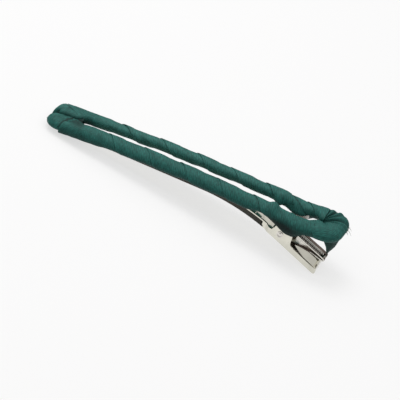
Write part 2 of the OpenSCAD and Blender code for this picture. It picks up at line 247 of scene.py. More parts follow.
def makeWeaveGroup():
    # ribs and threads of the ribbon: a height, and a tone that goes a little lighter and darker; the mark
    # attribute mixes in a lighter tone for painted highlights and darkens the colour for painted shade
    group, given, result = newGroup("ribbonWeave", [
        ("Base", "NodeSocketColor", (0.02, 0.1, 0.08, 1)),
        ("LighterTone", "NodeSocketColor", (0.12, 0.3, 0.25, 1))],
        [("Color", "NodeSocketColor"), ("Height", "NodeSocketFloat")])
    uv = nodeOf(group, "ShaderNodeUVMap", (-1400, 0), uv_map="ribbonUv").outputs["UV"]
    turned = mappingOf(group, (-1200, 0), uv, Rotation=(0, 0, math.radians(28)))
    drawn = mappingOf(group, (-1050, -700), turned, Scale=(1.1, 5.0, 1))
    rib = nodeOf(group, "ShaderNodeTexWave", (-900, 200), bands_direction="Y", Vector=turned,
                 Scale=0.78, Distortion=0.8, Detail=1.5, **{"Detail Scale": 1.2}).outputs["Fac"]
    thread = nodeOf(group, "ShaderNodeTexWave", (-900, -150), bands_direction="X", Vector=turned,
                    Scale=1.4, Distortion=0.6).outputs["Fac"]
    cloud = nodeOf(group, "ShaderNodeTexNoise", (-900, -450), Vector=uv, Scale=0.45, Detail=3.0)
    grain = nodeOf(group, "ShaderNodeTexNoise", (-900, -700), Vector=drawn, Scale=1.0, Detail=2.5)
    # the mark: above zero it mixes in the lighter tone, a painted highlight on the ribbon and the own paler
    # colour of the threads; below zero it is painted shade
    mark = nodeOf(group, "ShaderNodeAttribute", (-600, -900), attribute_name="paintedLightShadeAndTone").outputs["Fac"]
    height = mathOf(group, (-400, 100), "MULTIPLY_ADD", thread, 0.35, rib)
    height = mathOf(group, (-200, 100), "MULTIPLY_ADD", grain.outputs["Fac"], 0.5, height)
    tone = rangeOf(group, (-400, -450), cloud.outputs["Fac"], (0.3, 0.7), (0.82, 1.2))
    ribTone = rangeOf(group, (-400, -200), rib, (0, 1), (0.86, 1.08))
    fleck = rangeOf(group, (-400, -950), grain.outputs["Fac"], (0.3, 0.72), (0.62, 1.45))
    # painted shade: the colour is darkened as the mark falls below zero
    seam = rangeOf(group, (-300, -1000), mark, (-1, 0), (0.12, 1))
    for place, other in (((-200, -350), ribTone), ((-100, -450), fleck), ((-50, -700), seam)):
        tone = mathOf(group, place, "MULTIPLY", tone, other)
    lightened = mixOf(group, (-300, -700), mark, given.outputs["Base"], given.outputs["LighterTone"])
    feed(group, result.inputs["Color"], scaleOf(group, (0, -500), lightened, tone))
    feed(group, result.inputs["Height"], height)
    return group


def makeMetalGroup():
    # plated sheet metal: cloudy tone, fine marks from rolling and handling, and painted highlights where the
    # highlight mark is set
    group, given, result = newGroup("platedSheet", [
        ("Base", "NodeSocketColor", (0.74, 0.72, 0.66, 1)),
        ("HighlightTone", "NodeSocketColor", (0.78, 0.76, 0.7, 1)),
        ("Roughness", "NodeSocketFloat", 0.25),
        ("Grain", "NodeSocketFloat", 1.0)],
        [("Color", "NodeSocketColor"), ("Roughness", "NodeSocketFloat"), ("Height", "NodeSocketFloat")])
    place = nodeOf(group, "ShaderNodeTexCoord", (-1500, 0)).outputs["Object"]
    drawn = mappingOf(group, (-1250, 0), place, Scale=(150, 5200, 5200), Rotation=(0, math.radians(16), 0))
    crossed = mappingOf(group, (-1250, -350), place, Scale=(2600, 500, 900), Rotation=(0.4, 0.9, 0.7))
    cloud = nodeOf(group, "ShaderNodeTexNoise", (-1000, 300), Vector=place, Scale=420.0, Detail=4.0)
    line = nodeOf(group, "ShaderNodeTexNoise", (-1000, 0), Vector=drawn, Scale=1.0, Detail=3.0).outputs["Fac"]
    scratch = nodeOf(group, "ShaderNodeTexVoronoi", (-1000, -350), feature="DISTANCE_TO_EDGE",
                     Vector=crossed, Scale=1.0)
    mark = nodeOf(group, "ShaderNodeAttribute", (-900, 600), attribute_name="paintedHighlightMark").outputs["Fac"]
    thin = rangeOf(group, (-750, -350), scratch.outputs["Distance"], (0, 0.035), (1, 0))
    tone = rangeOf(group, (-700, 300), cloud.outputs["Fac"], (0.3, 0.75), (0.9, 1.04))
    # painted highlight: the colour goes to the highlight tone where the mark is set
    paintedBright = mixOf(group, (-650, 500), mark, given.outputs["Base"], given.outputs["HighlightTone"])
    rougher = mathOf(group, (-500, 0), "MULTIPLY_ADD", line, 0.08, given.outputs["Roughness"])
    rougher = mathOf(group, (-300, -100), "MULTIPLY_ADD", thin, 0.08, rougher)
    height = mathOf(group, (-300, -300), "SUBTRACT", line, thin)
    height = mathOf(group, (-100, -300), "MULTIPLY", height, given.outputs["Grain"])
    feed(group, result.inputs["Color"], scaleOf(group, (-400, 300), paintedBright, tone))
    feed(group, result.inputs["Roughness"], rougher)
    feed(group, result.inputs["Height"], height)
    return group


def newMaterial(name):
    material = bpy.data.materials.new(name)
    material.use_nodes = True
    tree = material.node_tree
    return material, tree, tree.nodes["Principled BSDF"]


def materialFrom(name, group, bump, given, own):
    # colour and relief come from the node group, and the shader's other inputs from own
    material, tree, shader = newMaterial(name)
    source = nodeOf(tree, "ShaderNodeGroup", (-600, 0), node_tree=group, **given)
    relief = nodeOf(tree, "ShaderNodeBump", (-300, -300), Strength=1.0, Distance=bump * mm,
                    Height=source.outputs["Height"])
    feedAll(tree, shader, {"Base Color": source.outputs["Color"], "Normal": relief.outputs["Normal"], **own})
    if "Roughness" in source.outputs:
        feed(tree, shader.inputs["Roughness"], source.outputs["Roughness"])
    return material


def makeRibbonMaterial(name, base, edge, gloss):
    return materialFrom(name, weaveGroup, 0.012, {"Base": (*base, 1), "LighterTone": (*edge, 1)}, {
        "Roughness": 0.58, "Specular IOR Level": gloss, "Sheen Weight": gloss * 0.25,
        "Sheen Roughness": 0.4, "Sheen Tint": (0.3, 0.85, 0.75, 1)})


def makeMetalMaterial(name, base, roughness, grain, bump=0.0006):
    given = {"Base": (*base, 1), "Roughness": roughness, "Grain": grain}
    return materialFrom(name, platedGroup, bump, given, {"Metallic": 1.0})


weaveGroup = makeWeaveGroup()
platedGroup = makeMetalGroup()
# the lighter tone of each ribbon material is the colour of its painted highlights
ribbonMaterial = makeRibbonMaterial(
    "greenRibbon", base=(0.0155, 0.101, 0.087), edge=(0.035, 0.15, 0.13), gloss=0.18)
# a darker copy of the ribbon: painted shade for the end tucked under the band
tuckMaterial = makeRibbonMaterial(
    "greenRibbonPaintedShade", base=(0.007, 0.035, 0.03), edge=(0.05, 0.16, 0.13), gloss=0.06)
threadMaterial = makeRibbonMaterial(
    "frayedThread", base=(0.2, 0.25, 0.22), edge=(0.5, 0.52, 0.46), gloss=0.5)
jawMaterial = makeMetalMaterial(
    "nickelJaw", base=(0.735, 0.72, 0.63), roughness=0.02, grain=1.0, bump=0.0002)
plateMaterial = makeMetalMaterial("nickelPlate", base=(0.7, 0.69, 0.65), roughness=0.24, grain=1.0)
rivetMaterial = makeMetalMaterial("nickelRivet", base=(0.78, 0.75, 0.7), roughness=0.22, grain=0.6)
# the spring's dark brown is a painted reflection of the dark ribbon over it
springMaterial = makeMetalMaterial(
    "springPaintedDarkReflection", base=(0.13, 0.1, 0.085), roughness=0.12, grain=1.0, bump=0.0003)
print("materials made")

# The ribbon, in mm
ribbon = {
    "thick": 0.14, "lap": 0.17, "lapWide": (-0.7, 0.9), "turnLength": 10.5, "perTurn": 72, "across": 34,
    "bead": 0.02, "beadWide": 0.3, "grooveOff": 0.15, "grooveWide": 0.55,
    "swell": 0.035, "swellLong": 9.0, "ripple": 0.022, "rippleLong": 3.4, "rippleFiner": 1.6,
    # the free edge's painted highlight, and the painted shade beside the next turn's edge
    "paintedEdgeLight": 0.35, "edgeOff": 0.1, "edgeWide": 0.2, "lapShadeWide": 0.32, "lapShadeUnder": 0.6,
}

# Winding of the ribbon round a rail, in clip mm. A pair of numbers is where a change starts and ends; a
# pair of lists is places along the clip and the values there.
clip = {
    "mid": 37.5, "rise": 1.7, "railTip": 3.65, "railTail": 4.55, "length": 75.0, "half": 1.95, "thick": 1.35,
    "dome": ([4, 14, 66, 69.2], [7.7, 22.0, 22.0, 11.0]), "midGap": 0.12, "tailEnd": (64, 69.3),
    "closed": ([5.6, 9, 66.2, 69], [1, 0, 0, 1]), "packed": (56, 57), "packedTo": (66, 68),
    "knotX": 57.9, "knotHalf": 1.7, "knot": 0.75,
    "waistX": 56.3, "waist": 0.55, "waistWide": (0.8, 4.2), "waistFace": 320,
    "gather": ([58.8, 63.6, 64.2, 67.2], [0, 1.3, 1.3, 0]), "gatherFace": 271, "gatherPower": 0.6,
    "gatherOut": 0.15,
    "dipTo": (5.8, 10.2), "dipSide": (-0.5, 0.6), "tipLift": ([4, 16], [0.25, 0]),
    "raised": ([5, 14, 58, 68], [0, 1, 1, 0]), "tipRaised": ([2.5, 6.5], [1, 0]),
}


def archAt(x):
    return clip["rise"] * (1 - ((x - clip["mid"]) / clip["mid"]) ** 2)


def railAt(x):
    return clip["railTip"] + (clip["railTail"] - clip["railTip"]) * x / clip["length"]


def woundPoints(x, turn, above, rail):
    # turn in degrees: outer edge 0, top 90, slot 180, below 270
    x, turn = np.broadcast_arrays(np.asarray(x, float), np.asarray(turn, float))
    turn = np.mod(turn, 360)
    c, s = np.cos(np.radians(turn)), np.sin(np.radians(turn))
    slope = np.radians(eased(x, *clip["dome"]))
    end = ramp(x, *clip["tailEnd"])
    away = (x - clip["knotX"]) / clip["knotHalf"]
    knot = clip["knot"] * np.clip(1 - away ** 2, 0, 1) ** 2 * facing(turn, rail["knotAt"])
    waist = (clip["waist"] * (1 - ramp(np.abs(x - clip["waistX"]), *clip["waistWide"]))
             * facing(turn, clip["waistFace"]))
    more = above + knot - waist
    for height, at, long, face, wide in rail["lumps"]:
        toFace = np.abs(np.mod(turn - face + 180, 360) - 180)
        more = more + height * hill(x - at, long) * hill(toFace, wide)
    middle = railAt(x) - rail["curl"] * end
    full = (middle - clip["midGap"]) / np.cos(slope)
    closed = eased(x, *clip["closed"])
    packed = ramp(x, *clip["packed"])
    reach = (clip["half"] + (full - clip["half"]) * closed + above * (1 - packed) * (1 - closed)
             + (more - ribbon["lap"]) * packed * (1 - ramp(x, *clip["packedTo"])))
    below = np.radians(np.clip((turn - clip["gatherFace"]) * 2, 0, 180))
    fall = eased(x, *clip["gather"]) * np.sin(below).clip(0) ** clip["gatherPower"]
    dip = rail["dip"] * (1 - ramp(x, *clip["dipTo"])) * ramp(-c, *clip["dipSide"]) * np.clip(s, 0, 1)
    lift = (rail["lift"] * end + eased(x, *clip["tipLift"]) + rail["raise"] * eased(x, *clip["raised"])
            + rail["tipRaise"] * eased(x, *clip["tipRaised"]))
    u = c * np.where(c < 0, reach, clip["half"] + more)
    v = s * (clip["thick"] + more) - dip
    y = middle + u * np.cos(slope) + v * np.sin(slope) + clip["gatherOut"] * fall
    z = archAt(x) + lift - u * np.sin(slope) + v * np.cos(slope) - fall
    return np.stack([x, rail["side"] * y, z], -1)


def windStrip(rail, strip):
    # one length of ribbon wound in a helix: rows go round the rail, columns across the ribbon
    s = np.arange(strip["from"], strip["to"] + 1e-6, 1 / ribbon["perTurn"])
    left = curveThrough(s, *strip["left"])
    right = left + np.interp(s, *strip["widths"])
    before = np.interp(s - 1, s, right, left=strip["under"])
    after = curveThrough(s + 1, *strip["left"])
    lo = np.maximum(0, strip["lowX"] - left)
    hi = np.minimum(right, strip["highX"]) - left
    keep = hi - lo > 0.02
    s, left, right, before, after, lo, hi = (a[keep, None] for a in (s, left, right, before, after, lo, hi))
    # the columns lie closer together near the two edges
    q = np.linspace(0, 1, ribbon["across"])
    q = 0.55 * q + 0.45 * (0.5 - 0.5 * np.cos(math.pi * q))
    w = lo + (hi - lo) * q
    x = left + w
    around = s * ribbon["turnLength"]
    toNext = after - left - w
    hasNext = 1 - ramp(s, strip["to"] - 1.1, strip["to"] - 1)
    onTop = 1 - ramp(w - (before - left), *ribbon["lapWide"])
    swell = ribbon["swell"] * waves(around, w, strip["seed"], ribbon["swellLong"])
    finer = w * ribbon["rippleFiner"]
    ripple = ribbon["ripple"] * waves(around, finer, strip["seed"] + 1, ribbon["rippleLong"])
    groove = strip["groove"] * hasNext * hill(toNext - ribbon["grooveOff"], ribbon["grooveWide"])
    bead = ribbon["bead"] * (hill(w, ribbon["beadWide"]) + hill(right - left - w, ribbon["beadWide"]))
    above = ribbon["lap"] * onTop + swell + ripple - groove + bead
    for height, start, end in strip["thicker"]:
        above = above + height * ramp(x, start, end)
    turn = rail["way"] * 360 * s
    outer = woundPoints(x, turn, above, rail)
    inner = woundPoints(x, turn, above - ribbon["thick"], rail)
    uv = np.stack([np.broadcast_to(around, x.shape), w], -1)
    # the free edge is given a painted highlight, and the layer beside it a painted shade
    edge = ribbon["paintedEdgeLight"] * hill(w - ribbon["edgeOff"], ribbon["edgeWide"]) * (lo < 0.01)
    paintedShade = np.interp(s, *strip["paintedShade"]) * hasNext
    shade = paintedShade * np.exp(-np.maximum(toNext, 0) / ribbon["lapShadeWide"]) * (toNext > -ribbon["lapShadeUnder"])
    for line in strip["besides"]:
        beside = x - (line["x"] + line["perTurn"] * (s - line["turn"]))
        near = (beside > -0.5) * (s < line["until"])
        shade = shade + line["paintedShade"] * hill(beside, line["wide"]) * near
    # painted shade by which way the ribbon faces on the rail, and painted light where the values are below
    # zero
    for face, power, places, paintedShadeByFace in rail["paintedShadeByFace"]:
        shade = shade + facing(turn, face) ** power * eased(x, places, paintedShadeByFace)
    return {"outer": outer, "inner": inner, "uv": uv, "edge": np.clip(edge - shade, -1, 1)}


# lumps: height, place along the rail, half length, way round, half width round
# painted shade by way round: way round, how sharply it ends, places along the rail, painted shade there
# (below zero it is painted lighter)
farRail = {
    "side": 1, "way": 1, "curl": 0.0, "lift": 0.8, "raise": 0.1, "tipRaise": 0.1, "dip": 0.0, "knotAt": 215,
    "lumps": [(0.75, 62.3, 2.2, 232, 34)],
    "paintedShadeByFace": [(228, 1.5, [7.5, 12, 55.5, 60.5], [0.86, 0.06, 0.06, 0.41]),
              (182, 1.5, [8, 13, 48, 53, 61, 64, 68], [0, -0.75, -0.75, -0.225, -0.225, -0.75, 0])],
}
nearRail = {
    "side": -1, "way": -1, "curl": 0.95, "lift": 0.35, "raise": 0.05, "tipRaise": -0.12, "dip": 1.15,
    "knotAt": 125, "lumps": [(-0.2, 65.6, 3.4, 336, 11), (0.5, 5.0, 8.0, 318, 50)],
    "paintedShadeByFace": [(318, 1.5, [0, 75], [0.6, 0.6]), (346, 1.5, [55.5, 60.5, 61, 68.5], [0, 0.8, 0.8, 0]),
              (126, 2, [5, 6, 8.2, 10.4], [0, 0.65, 0.65, 0])],
}

# each strip also lists painted shade beside the next turn's edge, by turn, and painted shade lines beside the
# edge of another layer
# left: turns along the ribbon, and where its free edge then is
farLong = {
    "from": -0.75, "to": 5.6, "seed": 3, "lowX": 1.1, "highX": 70.0, "under": 13.4, "groove": 0.02,
    "paintedShade": ([0, 1, 2, 3, 4, 4.4], [0.1, 0.06, 0.03, 0.03, 0.2, 0.35]),
    "besides": [{"x": 1.9, "perTurn": 27.0, "turn": 0.275, "until": 0.45, "wide": 0.3, "paintedShade": 0.85}],
    "left": ([-0.75, -0.1, 0.1, 0.2, 0.275, 0.328, 0.371, 0.43, 0.5, 1.25, 2.25, 3.25, 4.25, 5.25, 6.25],
             [1.1, 1.1, 1.15, 1.4, 1.9, 3.2, 4.6, 5.7, 6.6, 16.5, 26.2, 35.7, 44.5, 53.6, 62.8]),
    "widths": ([-0.75, -0.1, 0.0, 0.2, 0.28, 0.4, 0.5, 4.5, 4.7, 5.25, 5.6],
               [12.3, 12.6, 15.4, 17.0, 16.6, 15.0, 14.6, 14.6, 8.6, 6.0, 4.4]),
    "thicker": [(0.32, 52, 58)],
}
farShort = {
    "from": -0.4, "to": 1.55, "seed": 9, "lowX": 54.0, "highX": 69.4, "under": 54.0, "groove": 0.05,
    "paintedShade": ([0, 6], [0.15, 0.15]),
    "besides": [{"x": 59.75, "perTurn": 14.5, "turn": 0.25, "until": 9.0, "wide": 0.3, "paintedShade": 1.0}],
    "left": ([-0.75, 0.25, 1.25, 2.25, 3.25], [46.0, 55.2, 64.4, 73.6, 82.8]),
    "widths": ([-1, 3], [14.6, 14.6]),
    "thicker": [(0.22, 58, 60.5)],
}
nearLong = {
    "from": -0.8, "to": 6.55, "seed": 17, "lowX": 3.8, "highX": 69.4, "under": 13.0, "groove": 0.005,
    "paintedShade": ([0, 0.6, 1.3, 2, 3, 4, 4.6, 5, 5.6], [0.15, 0.04, 0.03, 0.0, 0.0, 0.02, 0.7, 0.95, 0.6]),
    "besides": [],
    "left": ([-0.8, -0.5, -0.38, -0.25, -0.08, 0.1, 0.3, 0.5, 1, 2, 3, 4, 5, 5.75, 6, 7, 8],
             [5.4, 5.2, 4.8, 4.45, 4.0, 3.9, 4.4, 5.6, 9.9, 19.2, 28.5, 37.8, 47.1, 54.3, 56.6, 66.6, 76]),
    "widths": ([-0.8, 0, 1, 5.2, 5.6], [10, 10, 14.6, 14.6, 17.5]),
    "thicker": [(0.22, 57.0, 59.0)],
}

ribbonFarWinding = shellPiece("ribbonFarWinding", [windStrip(farRail, farLong), windStrip(farRail, farShort)])
ribbonNearWinding = shellPiece("ribbonNearWinding", [windStrip(nearRail, nearLong)])
print("windings made")

# Folded tip: two lobes with a crease between them. The crease wanders by y; beside it the walls fall
# steeply to the deepest line. The edges are where the first turns of the windings cover the tip.
tip = {
    "x": [-0.42, -0.3, 0.0, 0.7, 1.7, 3.0, 4.2, 7.4],
    "middle": [1.9, 2.0, 2.5, 3.0, 3.4, 3.62, 3.68, 3.72],
    "reach": [1.2, 1.3, 1.6, 2.0, 2.1, 2.05, 1.86, 1.8],
    "half": [0.05, 0.4, 0.85, 1.2, 1.4, 1.4, 1.22, 1.15],
    "stand": [0.75, 0.75, 0.75, 0.7, 0.6, 0.42, 0.28, 0.2],
    "slope": 7.0, "nearDown": 0.2, "nearOut": 0.1, "nearHidden": 0.35, "nearCovered": (4.6, 5.6),
    "wander": ([-0.3, 0.2, 0.8, 1.6, 7.0], [-0.9, -0.45, 0.2, 0.3, 0.15]),
    "deepest": ([-0.3, 0.4, 1.2, 2.0, 7.0], [-0.3, 0.25, 0.7, 0.84, 0.8]),
    "nearWall": ([-0.3, 1.0, 3.0, 7.0], [2.9, 2.9, 2.7, 2.4]), "farWall": 0.95,
    "farEdge": ([0.3, 1.24, 2.03, 3.15, 5.0], [5.7, 4.6, 3.2, 1.9, 1.2]),
    "nearEdge": ([-5.2, -4.6, -3.6, -1.3, 0], [3.9, 4.0, 4.4, 4.8, 5.2]),
    # among these are the widths and strengths of painted shade, and of painted light on the far lobe
    "wallShadeWide": ([0.2, 2.5], [0.32, 1.15]), "rings": 60, "around": 56,
    "pocketAt": (0.15, -0.75), "pocketWide": (0.6, 0.35), "pocketDeep": 0.35, "pocketPaintedShade": 0.3,
    "swell": 0.05, "ripple": 0.02, "seamDeep": 0.05, "farEdgeWide": 0.4, "nearEdgeWide": 0.36,
    "wallPaintedShade": 0.85, "coveredPaintedShade": 0.75, "covered": (5.0, 5.6), "paintedLighter": 0.45,
}


def lobe(form, x, side, count):
    middle, reach, half, stand = form
    if side < 0:
        hidden = tip["nearHidden"] * float(ramp(x, *tip["nearCovered"]))
        stand, reach, half = stand - tip["nearDown"], reach + tip["nearOut"] - hidden, half - hidden
    inner = middle * 1.13
    edge = math.acos(-middle / inner)
    t = np.linspace(-edge, edge, count)
    u = np.cos(t) * np.where(np.cos(t) < 0, inner, reach)
    v = half * np.sin(t)
    flat = 1 - 0.5 * ramp(-u / middle, 0.2, 1)
    a = math.radians(tip["slope"])
    return np.stack([np.full(count, x), side * (middle + u * math.cos(a)),
                     archAt(x) + stand * flat - u * math.sin(a) * flat + v], -1)


def makeTipFold():
    xs = tip["x"][0] + (tip["x"][-1] - tip["x"][0]) * np.linspace(0, 1, tip["rings"]) ** 1.6
    rings = []
    for x in xs:
        form = [float(curveThrough(x, tip["x"], tip[k])) for k in ("middle", "reach", "half", "stand")]
        far, near = (lobe(form, x, side, tip["around"]) for side in (1, -1))
        rings.append(np.concatenate([far, near[::-1]]))
    x, y, z = np.moveaxis(np.array(rings), -1, 0)
    top = ramp(z - archAt(x), 0.1, 0.9)
    wander = np.interp(x, *tip["wander"])
    y = y + wander * np.clip(1 - np.abs(y) / 4.5, 0, 1)
    # the crease is a narrow steep valley; it opens into a small pocket at the nose
    deepest = archAt(x) + np.interp(x, *tip["deepest"])
    aside = wander - y
    wall = np.where(aside > 0, np.interp(x, *tip["nearWall"]), tip["farWall"])
    valley = 1 - ramp(np.abs(aside) / wall, 0.12, 1)
    (pocketX, pocketY), (pocketLong, pocketWide) = tip["pocketAt"], tip["pocketWide"]
    pocket = hill(x - pocketX, pocketLong) * hill(y - pocketY, pocketWide)
    z = z - top * valley * np.maximum(z - deepest, 0) - top * tip["pocketDeep"] * pocket
    seam = hill(y + 2.1 + 0.5 * (x - 1.5), 0.28) * eased(x, [0.2, 1.0, 2.4, 3.4], [0, 1, 1, 0])
    uneven = tip["swell"] * waves(x, y, 31, 3.2) + tip["ripple"] * waves(x, y, 37, 1.3)
    z = z + top * (uneven - tip["seamDeep"] * seam)
    outer = np.stack([x, y, z], -1)
    around = ringLengths(outer)
    uv = np.stack([around, np.broadcast_to(xs[:, None] * 1.15, around.shape)], -1)
    # painted shade beside the first turns, on the walls of the crease, in the pocket and under the near
    # winding
    farEdge = x + 0.1 - np.interp(y, *tip["farEdge"])
    nearEdge = x + 0.1 - np.interp(y, *tip["nearEdge"])
    paintedShade = np.where(y > wander, hill(farEdge, tip["farEdgeWide"]) * (1 - ramp(y, 3.2, 4.4)),
                    hill(nearEdge, tip["nearEdgeWide"]) * (1 - 0.4 * ramp(-y, 3.6, 5)))
    wallShadeWide = np.interp(x, *tip["wallShadeWide"])
    paintedShade = paintedShade + tip["wallPaintedShade"] * hill(aside + 0.35 * wallShadeWide, wallShadeWide) * ramp(x, -0.4, 0.5)
    paintedShade = paintedShade + tip["pocketPaintedShade"] * pocket + tip["coveredPaintedShade"] * ramp(x, *tip["covered"]) * (y < wander)
    # the far lobe is painted lighter, a painted highlight
    paintedLighter = tip["paintedLighter"] * ramp(y - wander, 0.4, 1.6)
    return {"outer": outer, "inner": insideOf(outer, ribbon["thick"], True), "uv": uv,
            "edge": paintedLighter - np.clip(paintedShade * ramp(z - archAt(x), -0.3, 0.3), 0, 1)}


ribbonTipFold = shellPiece("ribbonTipFold", [makeTipFold()], wraps=True)
print("tip made")

# Bend at the tail: a tube led round the inner corner, where its pleats meet
tail = {
    "corner": (69.25, 0.05),
    "turn": [-90, -75, -60, -45, -30, -15, 0, 15, 30, 45, 60, 75, 90],
    "out": [5.75, 5.8, 5.93, 5.9, 5.8, 5.65, 5.6, 5.95, 6.85, 7.5, 7.4, 6.95, 6.55],
    "middle": [1.03, 0.98, 0.9, 0.82, 0.8, 0.8, 0.85, 0.95, 1.05, 1.2, 1.38, 1.42, 1.4],
    "half": [1.62, 1.58, 1.52, 1.47, 1.42, 1.42, 1.45, 1.5, 1.58, 1.7, 1.8, 1.72, 1.62],
    "reach": 2.1, "slope": 10.0, "lead": 0.9, "shrink": 0.16, "around": 72, "steps": 120,
    "creases": [(86, 0.55, 5.0), (66, 0.75, 5.0), (50, 0.35, 4.0), (33, 0.7, 5.0), (17, 0.3, 4.5)],
    "inward": (0.45, 1.02), "fan": 5, "fanFrom": 40, "swell": 0.12, "swellTo": (10, 40), "uneven": 0.05,
    "band": (12, 34), "proud": 0.16, "border": (-0.62, -0.56),
}


def makeTailFold():
    turns = np.linspace(90, -90, tail["steps"])
    t = np.linspace(0, 2 * math.pi, tail["around"], endpoint=False)
    lead = np.linspace(tail["lead"], 0, 5)[:-1]
    spots = [(90, d) for d in lead] + [(a, 0) for a in turns] + [(-90, d) for d in lead[::-1]]
    angle = np.array([a for a, _ in spots])[:, None]
    back = np.array([d for _, d in spots])[:, None]
    out, middle, half = (curveThrough(angle, tail["turn"], tail[k]) for k in ("out", "middle", "half"))
    shrink = tail["shrink"] * ramp(back, 0, 0.5)
    c, s = np.cos(t)[None, :], np.sin(t)[None, :]
    centre = out - tail["reach"]
    u = c * np.where(c < 0, centre - 0.1, tail["reach"] - shrink)
    v = s * (half - shrink)
    a = math.radians(tail["slope"])
    r = centre + u * math.cos(a) + v * math.sin(a) * 0.4
    z = middle - u * math.sin(a) * np.where(c < 0, 0.35, 1) + v
    top = ramp(s, -0.1, 0.45)
    inward = 1 - ramp(r / out, *tail["inward"])
    pleats = np.zeros(r.shape)
    for at, deep, wide in tail["creases"]:
        bent = at + tail["fan"] * ramp(r / out, 0.4, 1) * (1 if at > tail["fanFrom"] else -1)
        pleats += deep * hill(angle - bent, wide)
    swell = tail["swell"] * ramp(angle, *tail["swellTo"]) * inward
    z = z + top * (swell - pleats * (0.35 + 0.65 * inward))
    # lower border of the last wrap, standing proud of the tucked end below it
    band = 1 - ramp(angle, *tail["band"])
    proud = tail["proud"] * band * ramp(s, *tail["border"])
    r = r + proud * (c > 0) + tail["uneven"] * waves(angle * 0.08, s * 2, 43, 4.0)
    z = z + top * tail["uneven"] * waves(angle * 0.09, r, 47, 4.0)
    rad = np.radians(angle)
    x = tail["corner"][0] + r * np.cos(rad) - back
    y = tail["corner"][1] + r * np.sin(rad)
    outer = np.stack([x, y, z], -1)
    around = ringLengths(outer)
    along = np.broadcast_to((90 - angle) * 0.07 + np.sign(-angle) * back, around.shape)
    # painted shade in the pleats and towards the inner corner, and a painted highlight along the lower border
    # of the last wrap
    shade = top * np.clip(pleats * 1.1 * (0.25 + 0.75 * inward), 0, 0.85) + 0.5 * top * np.exp(-r / 1.2)
    edge = hill(s + 0.55, 0.07) * band * (c > -0.2) - shade
    return {"outer": outer, "inner": insideOf(outer, ribbon["thick"], True),
            "uv": np.stack([along, around], -1), "edge": edge}


ribbonTailFold = shellPiece("ribbonTailFold", [makeTailFold()], wraps=True)

# Cut end of the ribbon, drawn down to a point at the fold of the spring
tuck = {
    "point": (72.75, 0.9, -5.95), "top": -0.2, "far": 58.0, "near": -62.0, "out": 5.25,
    "fold": 0.12, "uneven": 0.1, "rows": 40, "columns": 60,
}


def makeTailTuck():
    down = np.linspace(0, 1, tuck["rows"])[:, None]
    side = np.linspace(-1, 1, tuck["columns"])[None, :]
    turn = np.radians(tuck["near"] + (tuck["far"] - tuck["near"]) * (side + 1) / 2)
    topX = tail["corner"][0] + tuck["out"] * np.cos(turn)
    topY = tail["corner"][1] + tuck["out"] * np.sin(turn)
    x = topX + (tuck["point"][0] - topX) * down + 0.25 * np.sin(math.pi * down)
    y = topY + (tuck["point"][1] + 0.25 * side - topY) * down
    z = tuck["top"] + (tuck["point"][2] - tuck["top"]) * down
    folds = tuck["fold"] * np.sin(side * 7 + 0.8) * (1 - 0.5 * down)
    folds = folds + tuck["uneven"] * waves(side * 3, down * 4, 53, 4.0)
    x = x + folds * ramp(down, 0.05, 0.3)
    x, y, z = np.broadcast_arrays(x, y, z)
    outer = np.stack([x, y, z], -1)
    inner = outer - np.array([ribbon["thick"] * 1.6, 0, 0])
    uv = np.stack([np.broadcast_to(down * 6, x.shape), y], -1)
    # painted highlight along the two folded sides
    edge = 0.5 * hill(1 - np.abs(side), 0.03) * np.ones_like(down)
    return {"outer": outer, "inner": inner, "uv": uv, "edge": edge}


ribbonTailTuck = shellPiece("ribbonTailTuck", [makeTailTuck()])
print("tail made")

# Loose threads of the ribbon's cut end, in clip mm
threads = {"root": (74.9, 3.5, 0.9), "count": 9, "radius": 0.07, "sides": 6, "steps": 8}


def makeThreads():
    draw = np.random.default_rng(71)
    layers = []
    for _ in range(threads["count"]):
        start = np.array(threads["root"]) + draw.uniform([-0.5, -1.6, -0.5], [0.2, 1.4, 0.5])
        heading = np.array([draw.uniform(0.5, 1), draw.uniform(-0.6, 0.3), draw.uniform(-0.7, 0.1)])
        bend = draw.uniform(-0.5, 0.5, 3)
        length = draw.uniform(0.7, 1.6)
        f = np.linspace(0, 1, threads["steps"])[:, None]
        line = start + heading * f * length + bend * f * f * length
        way = np.gradient(line, axis=0)
        way /= np.linalg.norm(way, axis=1, keepdims=True)
        first = np.cross(way, [0.3, 0.2, 1.0])
        first /= np.linalg.norm(first, axis=1, keepdims=True)
        second = np.cross(way, first)
        turn = np.linspace(0, 2 * math.pi, threads["sides"], endpoint=False)[None, :, None]
        size = threads["radius"] * (1 - 0.6 * f[:, None])
        spokes = size * (np.cos(turn) * first[:, None] + np.sin(turn) * second[:, None])
        uv = np.stack(np.broadcast_arrays(f * length, np.arange(threads["sides"] + 1) * 0.1), -1)
        layers.append({"outer": line[:, None] + spokes, "inner": line[:, None] + 0.3 * spokes, "uv": uv,
                       "edge": np.full(spokes.shape[:2], 0.8)})
    return layers


ribbonThreads = shellPiece("ribbonThreads", makeThreads(), wraps=True)
wound = (ribbonFarWinding, ribbonNearWinding, ribbonTipFold, ribbonTailFold)
for piece in wound:
    piece.data.materials.append(ribbonMaterial)
ribbonThreads.data.materials.append(threadMaterial)
ribbonTailTuck.data.materials.append(tuckMaterial)
for piece in (*wound, ribbonTailTuck, ribbonThreads):
    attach(piece, "frame")
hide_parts("ribbon_far_rail")
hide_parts("ribbon_near_rail")
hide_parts("ribbon_tip")
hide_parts("ribbon_tail")
print("ribbon pieces placed")

# Lower jaw: the sheet-metal stamping with softened edges; the arm's flanges lean in a little
jawLine = {
    "tip": (2.6, -1.72), "bend": (40.0, -1.31), "radius": 52.0, "cuts": range(4, 59, 2),
    "rim": 1.06, "rimFrom": 6, "rimTo": 57.8, "flange": 0.95, "slack": (0.3, 0.03, 0.1),
    "lean": 0.38, "leanTo": (57.4, 58.6), "leanSide": (0.8, 1.6), "soft": 0.06, "softOver": 35,
}


